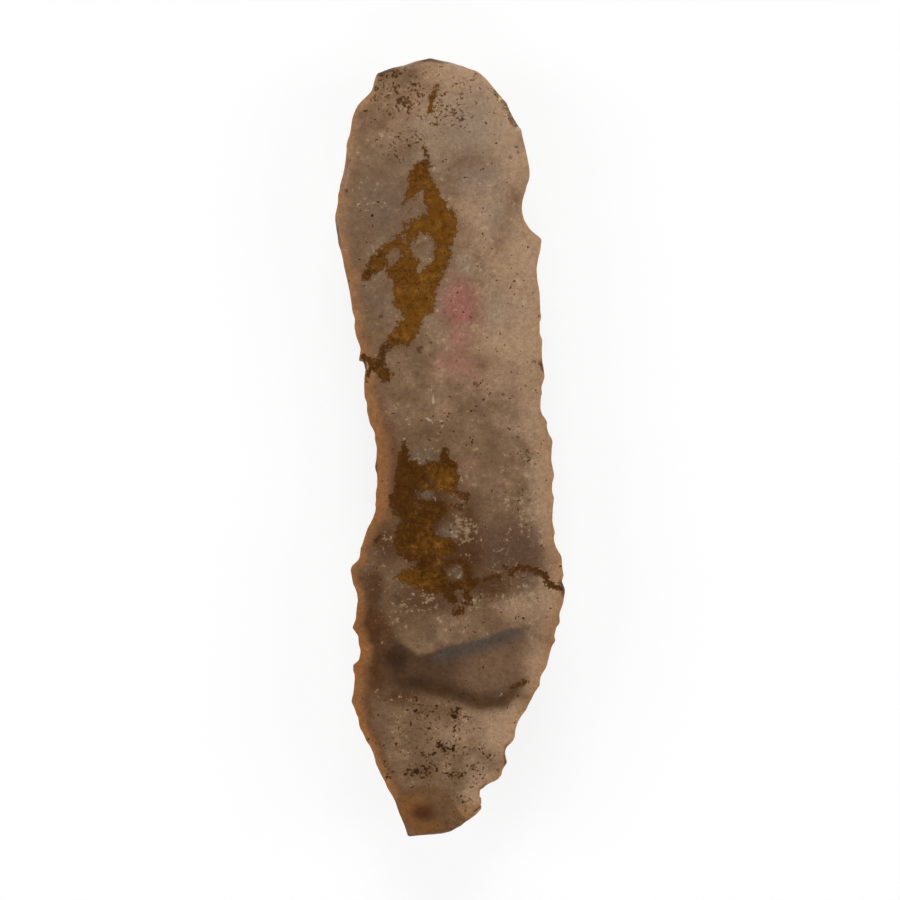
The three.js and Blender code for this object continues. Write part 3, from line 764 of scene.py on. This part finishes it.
# The relief's sums, in order: (name, operation, values), a text being an input, a field or an earlier row
RELIEF_SUMS = [
    # Ripples round the place that the flake was struck from, missing where "uneven" is below 0
    ("warp", "SUBTRACT", "warp noise", 0.5),
    ("path", "MULTIPLY_ADD", "warp", "Ripple warp", "Strike"),
    ("turns", "DIVIDE", "path", "Ripple pitch"),
    ("angle", "MULTIPLY", "turns", 2 * math.pi),
    ("wave", "SINE", "angle"),
    ("crests", "MULTIPLY_ADD", "wave", 0.5, 0.5),
    ("uneven", "MULTIPLY_ADD", "swell noise", 5, -2),
    ("patchy", "MAXIMUM", "uneven", 0),
    ("patchy crests", "MULTIPLY", "crests", "patchy"),
    ("ripples", "MULTIPLY", "patchy crests", "Ripple depth"),
    # Slow swells of the broken surface. Both are faint on the smooth side
    ("swells", "MULTIPLY", "swell noise", "Swell depth"),
    ("waves", "ADD", "ripples", "swells"),
    ("strength", "MULTIPLY_ADD", "Under", 0.85, 0.15),
    ("faint waves", "MULTIPLY", "waves", "strength"),
    # Fissures that fan out from there, on the crests of the fan noise, and end in the margins
    ("ridges", "MULTIPLY_ADD", "fan noise", 4, -2.2),
    ("cracks", "MAXIMUM", "ridges", 0),
    ("near margin", "DIVIDE", "Gap", "Fissure reach"),
    ("far", "MINIMUM", "near margin", 1),
    ("nearness", "SUBTRACT", 1, "far"),
    ("near cracks", "MULTIPLY", "cracks", "nearness"),
    ("fissures", "MULTIPLY", "near cracks", "Fissure depth"),
    ("marks", "ADD", "faint waves", "fissures"),
    # Pits of the rind
    ("rough rind", "MULTIPLY", "Cortex", "Under"),
    ("pitting", "MULTIPLY", "pit noise", "rough rind"),
    ("pits", "MULTIPLY", "pitting", "Pit depth"),
    ("all marks", "ADD", "marks", "pits"),
    ("inner marks", "MULTIPLY", "all marks", "Inland"),
    ("sink", "MULTIPLY", "inner marks", -MM),
]
# The same for the chips along the margins, whose sizes are in metres; most are shallow
CHIP_SUMS = [
    ("share", "DIVIDE", "away", "radius"),
    ("square", "POWER", "share", 2),
    ("bowl", "SUBTRACT", 1, "square"),
    ("inside", "MAXIMUM", "bowl", 0),
    ("rarity", "POWER", "bite", 3),
    ("bitten", "MULTIPLY", "inside", "rarity"),
    ("depth", "MULTIPLY", "bitten", "Chip depth"),
    ("dent", "MULTIPLY", "depth", MM),
]


def knapped_skin():
    """A tree that works ripples, fissures and pits into the stone, and chips its margins."""
    tree = bpy.data.node_groups.new("knapped skin", "GeometryNodeTree")
    tree.interface.new_socket("Geometry", in_out="OUTPUT", socket_type="NodeSocketGeometry")
    for name, kind in [("Geometry", "Geometry"), *(row[:2] for row in RELIEF_SIZES), ("Flint", "Material")]:
        tree.interface.new_socket(name, in_out="INPUT", socket_type="NodeSocket" + kind)
    parts = {name: add(tree, "NodeGroupInput", {}, {}, name)
             for name in ["Geometry", *(row[0] for row in RELIEF_SIZES), "Flint"]}
    for name, kind in [*((name, "FLOAT") for name in RELIEF_FIELDS), ("Inward", "FLOAT_VECTOR"),
                       ("Outline", "BOOLEAN")]:
        parts[name] = add(tree, "GeometryNodeInputNamedAttribute", {"data_type": kind}, {"Name": name},
                          "Attribute")
    position = add(tree, "GeometryNodeInputPosition", {}, {})
    place = add(tree, "ShaderNodeVectorMath", {"operation": "SCALE"}, {"Vector": position, "Scale": 1 / MM})
    slow = add(tree, "ShaderNodeMath", {"operation": "MULTIPLY"}, [parts["Strike"], FISSURE_RUN])
    fan = add(tree, "ShaderNodeCombineXYZ", {}, [parts["Bearing"], slow])
    for name, where, size in [
        ("warp noise", place, parts["Warp size"]), ("swell noise", place, parts["Swell size"]),
        ("pit noise", place, parts["Pit size"]), ("fan noise", fan, 1),
    ]:
        scale = add(tree, "ShaderNodeMath", {"operation": "DIVIDE"}, [1, size])
        parts[name] = add(tree, "ShaderNodeTexNoise", {}, {"Vector": where, "Scale": scale, "Detail": 2},
                          "Fac")
    for name, operation, *values in RELIEF_SUMS:
        parts[name] = add(tree, "ShaderNodeMath", {"operation": operation}, [parts.get(v, v) for v in values])
    normal = add(tree, "GeometryNodeInputNormal", {}, {})
    worked = add(tree, "ShaderNodeVectorMath", {"operation": "SCALE"},
                 {"Vector": normal, "Scale": parts["sink"]})

    # Each chip is a point near the margin, which pulls the margin inwards where it is close
    margin = add(tree, "GeometryNodeMeshToCurve", {},
                 {"Mesh": parts["Geometry"], "Selection": parts["Outline"]})
    for name in ("Chip spacing", "Smallest chip", "Largest chip"):
        parts[name] = add(tree, "ShaderNodeMath", {"operation": "MULTIPLY"}, [parts[name], MM])
    margin = add(tree, "GeometryNodeResampleCurve", {"mode": "LENGTH"},
                 {"Curve": margin, "Length": parts["Chip spacing"]})
    chips = add(tree, "GeometryNodeCurveToPoints", {"mode": "EVALUATED"}, {"Curve": margin}, "Points")
    stray = add(tree, "FunctionNodeRandomValue", {"data_type": "FLOAT_VECTOR"},
                {"Min": (-STRAY * MM,) * 3, "Max": (STRAY * MM,) * 3, "Seed": parts["Seed"]})
    chips = add(tree, "GeometryNodeSetPosition", {}, {"Geometry": chips, "Offset": stray})
    nearest = add(tree, "GeometryNodeSampleNearest", {}, {"Geometry": chips})
    other_seed = add(tree, "ShaderNodeMath", {"operation": "ADD"}, [parts["Seed"], 1])
    radius = add(tree, "FunctionNodeRandomValue", {"data_type": "FLOAT"},
                 {"Min": parts["Smallest chip"], "Max": parts["Largest chip"], "Seed": parts["Seed"]})
    bite = add(tree, "FunctionNodeRandomValue", {"data_type": "FLOAT"}, {"Seed": other_seed})
    for name, kind, value in [("middle", "FLOAT_VECTOR", position), ("radius", "FLOAT", radius),
                              ("bite", "FLOAT", bite)]:
        parts[name] = add(tree, "GeometryNodeSampleIndex", {"data_type": kind},
                          {"Geometry": chips, "Value": value, "Index": nearest})
    parts["away"] = add(tree, "ShaderNodeVectorMath", {"operation": "DISTANCE"},
                        [position, parts["middle"]], "Value")
    for name, operation, *values in CHIP_SUMS:
        parts[name] = add(tree, "ShaderNodeMath", {"operation": operation}, [parts.get(v, v) for v in values])
    chipped = add(tree, "ShaderNodeVectorMath", {"operation": "SCALE"},
                  {"Vector": parts["Inward"], "Scale": parts["dent"]})

    offset = add(tree, "ShaderNodeVectorMath", {"operation": "ADD"}, [worked, chipped])
    stone = add(tree, "GeometryNodeSetPosition", {}, {"Geometry": parts["Geometry"], "Offset": offset})
    stone = add(tree, "GeometryNodeRealizeInstances", {}, {"Geometry": stone})
    stone = add(tree, "GeometryNodeSetMaterial", {}, {"Geometry": stone, "Material": parts["Flint"]})
    add(tree, "NodeGroupOutput", {}, {"Geometry": stone})
    return tree


working = blade.modifiers.new("knapped skin", "NODES")
working.node_group = knapped_skin()
values = {name: value for name, _, value in RELIEF_SIZES}
values["Flint"] = flint_material()
for socket in working.node_group.interface.items_tree:
    if socket.in_out == "INPUT" and socket.name in values:
        working[socket.identifier] = values[socket.name]
bpy.context.view_layer.update()
worked = bpy.data.meshes.new_from_object(blade.evaluated_get(bpy.context.evaluated_depsgraph_get()))
blade.modifiers.remove(working)
blade.data = worked
bpy.data.meshes.remove(skin)
worked.name = "blade_flint"
worked.set_sharp_from_angle(angle=SHARP_FROM)

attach(blade, "root")
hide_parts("blade")

# ---------------------------------------------------------------- the picture

FLOOR_HALF = 1.2  # metres
# Matt paper: it has no gloss, keeps the soft shadow and is white to the camera and in reflections
PAPER, WHITE = (0.9, 0.9, 0.9, 1), (1, 1, 1, 1)
GLOW, GLOW_MIX = 1.02, 0.8  # the strength of that white, and its share
SKY = 0.06
# The lamps: (name, place in metres, size, watts)
LAMPS = [
    ("soft box above", (0, 0.82, 0.57), 0.5, 6.55), ("soft box left", (-0.82, 0, 0.57), 0.5, 4.35),
    ("soft box right", (0.82, 0, 0.57), 0.5, 4.1), ("soft box below", (0, -0.82, 0.57), 0.5, 3.1),
]
LENS, SENSOR = 200, 36
VIEW_PLANE = 9.7  # the height of the margins, which the frame's steps are measured at

scene = bpy.context.scene
floor_mesh = bpy.data.meshes.new("floor")
floor_corners = [(x * FLOOR_HALF, y * FLOOR_HALF, 0) for x, y in [(-1, -1), (1, -1), (1, 1), (-1, 1)]]
floor_mesh.from_pydata(floor_corners, [], [(0, 1, 2, 3)])
floor = bpy.data.objects.new("floor", floor_mesh)
scene.collection.objects.link(floor)
floor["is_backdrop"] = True
white = bpy.data.materials.new("white paper")
white.use_nodes = True
tree = white.node_tree
tree.nodes.clear()
seen = 0
for ray in ("Is Camera Ray", "Is Glossy Ray", "Is Transmission Ray"):
    ray = add(tree, "ShaderNodeLightPath", {}, {}, ray)
    seen = add(tree, "ShaderNodeMath", {"operation": "ADD"}, [ray, seen])
seen = add(tree, "ShaderNodeMath", {"operation": "MULTIPLY"}, [seen, GLOW_MIX])
paper = add(tree, "ShaderNodeBsdfDiffuse", {}, {"Color": PAPER})
glow = add(tree, "ShaderNodeEmission", {}, {"Color": WHITE, "Strength": GLOW})
both = add(tree, "ShaderNodeMixShader", {}, [seen, paper, glow])
add(tree, "ShaderNodeOutputMaterial", {}, {"Surface": both})
floor_mesh.materials.append(white)

world = bpy.data.worlds.new("studio")
scene.world = world
world.use_nodes = True
sky = world.node_tree.nodes["Background"]
sky.inputs["Color"].default_value, sky.inputs["Strength"].default_value = WHITE, SKY

for name, place, size, power in LAMPS:
    lamp_data = bpy.data.lights.new(name, "AREA")
    lamp_data.energy = power
    lamp_data.size = size
    lamp = bpy.data.objects.new(name, lamp_data)
    lamp.location = place
    lamp.rotation_mode = "QUATERNION"
    lamp.rotation_quaternion = Vector(-lamp.location).to_track_quat("-Z", "Y")
    lamp.visible_camera = False
    scene.collection.objects.link(lamp)

camera_data = bpy.data.cameras.new("camera")
camera_data.lens, camera_data.sensor_width = LENS, SENSOR
camera = bpy.data.objects.new("camera", camera_data)
distance = FRAME_STEPS * STEP * LENS / SENSOR
camera.location = (0, (CENTRE_DOWN - CENTRE_RIGHT) * STEP * MM, (VIEW_PLANE + distance) * MM)
scene.collection.objects.link(camera)
scene.camera = camera
scene.view_settings.view_transform = "Standard"

visual_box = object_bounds()
boxes = {name: [list(corner) for corner in box] for name, box in [("cad", cad_box), ("visual", visual_box)]}
